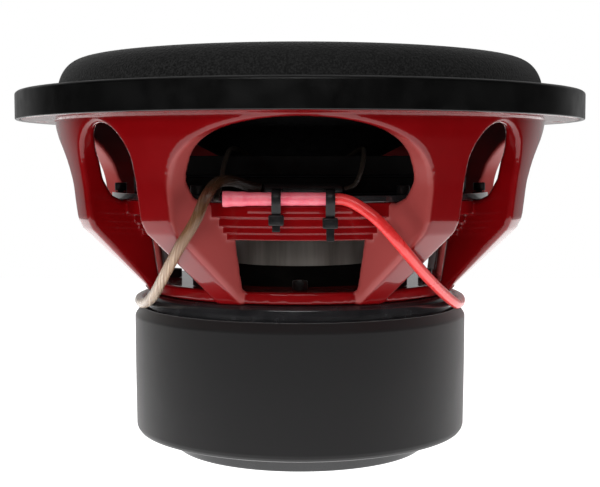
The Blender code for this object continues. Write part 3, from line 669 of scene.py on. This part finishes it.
# ---------------------------------------------------------------------------------------------------------
# Cone assembly: pressed pulp cone, domed cap, plastic neck collar and a four-inch aluminium former wound
# with enamelled wire.  Glued together; everything here travels.
# ---------------------------------------------------------------------------------------------------------
pulp = finish("cone_pulp", [(0.3, (0.004, 0.004, 0.0045)), (0.7, (0.010, 0.010, 0.0105))], 240,
              (0.45, 0.65), 0.12, 520)
shell = finish("cap_shell", [(0.3, (0.008, 0.008, 0.009)), (0.7, (0.016, 0.016, 0.017))], 80, (0.22, 0.36),
               0.02, 700, Coat_Weight=0.4)
former_metal = finish("former_alloy", [(0.3, (0.15, 0.135, 0.12)), (0.7, (0.34, 0.32, 0.29))], 12,
                      (0.4, 0.55), 0.03, 60, stretch=(6, 6, 0.6), Metallic=0.35)
# The wire is dark, and darker still as painted shade for the deep shade inside the basket.
wire = finish("coil_wire", [(0.3, (0.002, 0.002, 0.002)), (0.7, (0.005, 0.0045, 0.004))], 60, (0.5, 0.7),
              0.01, 900, Specular_IOR_Level=0.05)

turned("cone", [
    (125.7, 244.6), (126, 242.6), (108, 231.0), (90, 221), (54, 202.4), (51.3, 202.4), (51.3, 204.6),
    (89.5, 223.4), (108, 233.0),
], pulp, ["cone"], 0.6, 256, body=MOVING)
dome = [(78 * math.sin(math.pi * k / 64), 218.1 + 20 * math.cos(math.pi * k / 64)) for k in range(33)]
under = [(76.4 * math.sin(math.pi * k / 64), 217.3 + 19.4 * math.cos(math.pi * k / 64)) for k in range(33)]
turned("dust_cap", dome + under[::-1], shell, ["dust_cap"], 0, 256, body=MOVING, closed=False)
turned("neck_collar", [(51.3, 201.8), (56.2, 200.5), (56.2, 194.4), (51.3, 194.4)], plastic,
       ["neck_collar"], 0.6, body=MOVING)
turned("voice_coil_former", [(50.2, 204), (51, 204), (51, 73.6), (50.2, 73.6)], former_metal,
       ["voice_coil_former"], 0.1, body=MOVING)
turns = []
for k in range(47):
    level = 130.4 - 1.2 * k
    turns += [(53.15, level), (53.5, level - 0.3), (53.6, level - 0.6), (53.5, level - 0.9)]
turned("voice_coil_winding", [(51.3, 130.4), *turns, (53.15, 73.6), (51.3, 73.6)], wire,
       ["voice_coil_winding"], 0, 192, body=MOVING)


# ---------------------------------------------------------------------------------------------------------
# Lead dressing: pink and black heat-shrink sleeves over the joints, braided tinsel leads to the neck, and
# two nylon cable ties that hold the pink sleeve to the first fin of the shelf.
# ---------------------------------------------------------------------------------------------------------
pink = finish("pink_sleeve", [(0.3, (0.95, 0.13, 0.20)), (0.7, (1.0, 0.26, 0.32))], 160, (0.28, 0.42),
              0.12, 300, Coat_Weight=0.3, Coat_Roughness=0.2, Subsurface_Weight=0.15,
              Subsurface_Scale=0.002)
# The black sleeve and the ties are black, and darker still as painted shade for the deep shade inside the
# basket.
black_sleeve = finish("black_sleeve", [(0.3, (0.002, 0.002, 0.002)), (0.7, (0.005, 0.005, 0.005))], 200,
                      (0.5, 0.6), 0.08, 400)
nylon = finish("tie_nylon", [(0.3, (0.005, 0.005, 0.005)), (0.7, (0.011, 0.011, 0.012))], 200, (0.35, 0.5),
               0.04, 600)
braid = finish("tinsel_braid", [(0.3, (0.006, 0.005, 0.004)), (0.7, (0.020, 0.015, 0.011))], 900,
               (0.4, 0.6), 0.25, 900, kind="cells")


def rod(name, path, radii, material, sides=40, ripple=0.0):
    """A round rod with a radius for each path point; ripple makes a loose, uneven wall."""
    section = circle(np.asarray(radii, float), sides)
    if ripple:
        angle = np.arange(sides) / sides * math.tau
        place = np.arange(len(path))[:, None]
        wobble = 1 + ripple * np.sin(angle * 3 + place * 0.35) * np.sin(place * 0.23)
        section = section * wobble[..., None]
    rows = swept(path, section)
    faces, uvs = lattice(rows, False, True)
    return piece(name, rows.reshape(-1, 3), faces, material, None, [name], uvs)


stations = np.linspace(-46, 17.5, 90)
pink_path = np.stack([stations, np.full_like(stations, -137.0), np.full_like(stations, 177.7)], 1)
flare = np.interp(stations, [-46, -44, -38, -34, -31, 15, 17.0, 17.5],
                  [4.7, 4.85, 4.35, 4.45, 4.05, 3.95, 3.9, 3.6])
sleeve = rod("heat_shrink_sleeve", pink_path, flare, pink, ripple=0.02)
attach(sleeve, STILL)
stations = np.linspace(-22.0, 26.1, 60)
rear_path = np.stack([stations, np.full_like(stations, -121.0), np.full_like(stations, 183.2)], 1)
taper = np.interp(stations, [-22.0, -21.5, 20, 24, 26.1], [3.4, 3.7, 3.6, 3.0, 2.2])
sleeve = rod("rear_sleeve", rear_path, taper, black_sleeve, ripple=0.01)
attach(sleeve, STILL)
TINSEL_ROUTES = {
    "tinsel_lead_left": [
        (-47.6, -137.0, 177.6), (-50.4, -135.6, 177.7), (-50.0, -130.6, 178.8), (-48.0, -126.2, 185.5),
        (-46.0, -121.5, 198.0), (-43.0, -113.0, 207.0), (-38.5, -98.0, 207.5), (-32.0, -76.0, 203.0),
        (-25.2, -54.4, 198.0)],
    "tinsel_lead_right": [
        (27.0, -121.0, 183.2), (33.5, -121.3, 186.2), (37.5, -121.0, 196.0), (39.0, -113.5, 206.5),
        (37.0, -97.0, 207.5), (31.0, -75.0, 203.0), (25.2, -54.4, 198.0)],
}
for name, points in TINSEL_ROUTES.items():
    path = route(points, 0.8)
    tinsel = rod(name, path, np.full(len(path), 1.45), braid, 16)
    depth = np.empty(len(tinsel.data.vertices) * 3)
    tinsel.data.vertices.foreach_get("co", depth)
    follows(tinsel, np.clip((depth.reshape(-1, 3)[:, 1] * 1000 + 118) / 62, 0, 1))


def cable_tie(name, centre, drop, tail_end):
    """A nylon tie: strap round the sleeve and through the fin, ratchet head, and a tail that hangs down."""
    turn = np.radians(np.linspace(60, 180, 13))
    over = np.stack([-137 + 4.95 * np.cos(turn), 177.7 + 4.95 * np.sin(turn)], 1)
    line = np.vstack([
        [(-136.5, 164.6), (-127, 164.4), (-125.9, 164.9), (-125.6, 166.5), (-125.6, 180.0), (-126.6, 182.2),
         (-128.5, 183.0)], over, [(-141.6, 174.6), (-138.2, 168.6), (-137.2, 164.0)]])
    path = np.column_stack([np.full(len(line), centre), line])
    across = np.array([(-2.75, -0.4), (-2.5, -0.6), (2.5, -0.6), (2.75, -0.4), (2.75, 0.4), (2.5, 0.6),
                       (-2.5, 0.6), (-2.75, 0.4)])
    heading = np.gradient(path, axis=0)
    heading /= np.linalg.norm(heading, axis=1)[:, None]
    up = np.cross(heading, (1.0, 0.0, 0.0))
    sideways = across[None, :, :1] * np.array([1.0, 0.0, 0.0])
    strap = path[:, None] + sideways + across[None, :, 1:] * up[:, None]
    strap = np.concatenate([np.broadcast_to(path[0], strap[0].shape)[None], strap,
                            np.broadcast_to(path[-1], strap[0].shape)[None]])
    low, high = 161.8 + drop, 168.3 + drop
    head = rounded_box((centre - 4.6, -140.4, low), (centre + 4.6, -134.6, high), 1.0)
    tail = rounded_box((centre - 2.4, -139.4, tail_end), (centre + 2.4, -138.2, low + 1.0), 0.4)
    slot = rounded_box((centre - 2.9, -140.75, low + 1.6), (centre + 2.9, -139.9, high - 1.6), 0.3)
    points, faces, count = [], [], 0
    for rows, wraps in ((strap, True), (head, True), (tail, True), (slot, True)):
        quads, _ = lattice(rows, False, wraps)
        points.append(rows.reshape(-1, 3))
        faces.append(quads + count)
        count += rows.shape[0] * rows.shape[1]
    piece(name, np.vstack(points), np.vstack(faces), nylon, STILL, [name], sharp=50)


def rounded_box(low, high, radius):
    """Rows of a box with rounded edges: a superellipse outline at each level, drawn in at both ends."""
    low, high = np.asarray(low, float), np.asarray(high, float)
    middle, half = (low + high) / 2, (high - low) / 2
    radius = min(radius, half.min() * 0.9)
    corner = np.radians(np.linspace(0, 90, 5))
    rows = []
    bend = np.radians([-90, -60, -30, 0, 0, 30, 60, 90])
    for k, angle in enumerate(bend):
        inset = radius * (1 - math.cos(angle))
        level = middle[2] + math.copysign(half[2] - radius, k - 3.5) + radius * math.sin(angle)
        ring = []
        for quarter in range(4):
            sx, sy = ((1, 1), (-1, 1), (-1, -1), (1, -1))[quarter]
            for a in corner + quarter * math.pi / 2:
                ring.append((middle[0] + sx * (half[0] - radius) + (radius - inset) * math.cos(a),
                             middle[1] + sy * (half[1] - radius) + (radius - inset) * math.sin(a), level))
        rows.append(ring)
    rows = np.array(rows)
    ends = np.broadcast_to((middle[0], middle[1], low[2]), rows[0].shape), np.broadcast_to(
        (middle[0], middle[1], high[2]), rows[0].shape)
    return np.concatenate([ends[0][None], rows, ends[1][None]])


cable_tie("cable_tie_left", -14.2, 0.0, 158.0)
cable_tie("cable_tie_right", 18.0, -1.8, 152.3)


# ---------------------------------------------------------------------------------------------------------
# Stage and light: a plain white floor that glows, a surround that is bright only behind the speaker, one
# large panel overhead, three soft fills that glossy paint doesn't mirror, and one strip that it does.
# ---------------------------------------------------------------------------------------------------------
floor_mesh = bpy.data.meshes.new("floor")
floor_mesh.from_pydata([
    (-0.4, -0.4, 0), (0.4, -0.4, 0), (0.5, 0.3, 0), (0.7, 1.2, 0), (-0.7, 1.2, 0), (-0.5, 0.3, 0),
], [], [tuple(range(6))])
floor_white = finish("floor_white", [(0.3, (0.86, 0.86, 0.86)), (0.7, (0.90, 0.90, 0.90))], 2, (0.6, 0.75),
                     0.02, 200, Emission_Color=(1.0, 1.0, 1.0, 1.0), Emission_Strength=1.3)
floor_mesh.materials.append(floor_white)
floor = bpy.data.objects.new("floor", floor_mesh)
bpy.context.scene.collection.objects.link(floor)

world = bpy.data.worlds.new("studio")
bpy.context.scene.world = world
world.use_nodes = True
sky = world.node_tree
background = sky.nodes["Background"]
facing = add(sky, "ShaderNodeSeparateXYZ", {"Vector": add(sky, "ShaderNodeTexCoord").outputs["Generated"]})
spread = add(sky, "ShaderNodeMapRange", {"Value": facing.outputs["Y"], "From Min": 0.4, "From Max": 0.8,
                                         "To Min": 0.004, "To Max": 0.4}, interpolation_type="SMOOTHSTEP")
seen = add(sky, "ShaderNodeMath",
           {0: spread.outputs[0], 1: add(sky, "ShaderNodeLightPath").outputs["Is Camera Ray"]},
           operation="MAXIMUM")
sky.links.new(seen.outputs[0], background.inputs["Color"])
background.inputs["Strength"].default_value = 1.0


def panel(name, place, aim, size, power):
    """A large soft light panel pointed at a place."""
    data = bpy.data.lights.new(name, "AREA")
    data.shape = "RECTANGLE"
    data.size, data.size_y = size
    data.energy = power
    made = bpy.data.objects.new(name, data)
    made.location = place
    away = np.asarray(place) - np.asarray(aim)
    made.rotation_euler = (math.atan2(math.hypot(away[0], away[1]), away[2]), 0.0,
                           math.atan2(away[0], -away[1]))
    bpy.context.scene.collection.objects.link(made)
    return made


panel("overhead", (0.0, 0.2, 1.6), (0.0, 0.0, 0.2), (1.6, 0.9), 1.5)
for name, x, power in (("key", -0.2, 3.4), ("left_fill", -1.2, 3.8), ("right_fill", 1.2, 2.6)):
    fill = panel(name, (x, -1.2 + abs(x) * 0.6, 0.3), (0.0, 0.0, 0.15), (0.5, 0.25), power)
    fill.visible_glossy = False
glint = panel("glint", (-0.1, -1.1, 0.9), (0.0, 0.0, 0.15), (0.7, 0.2), 2.0)
glint.visible_diffuse = False
bpy.context.scene.view_settings.view_transform = "Standard"
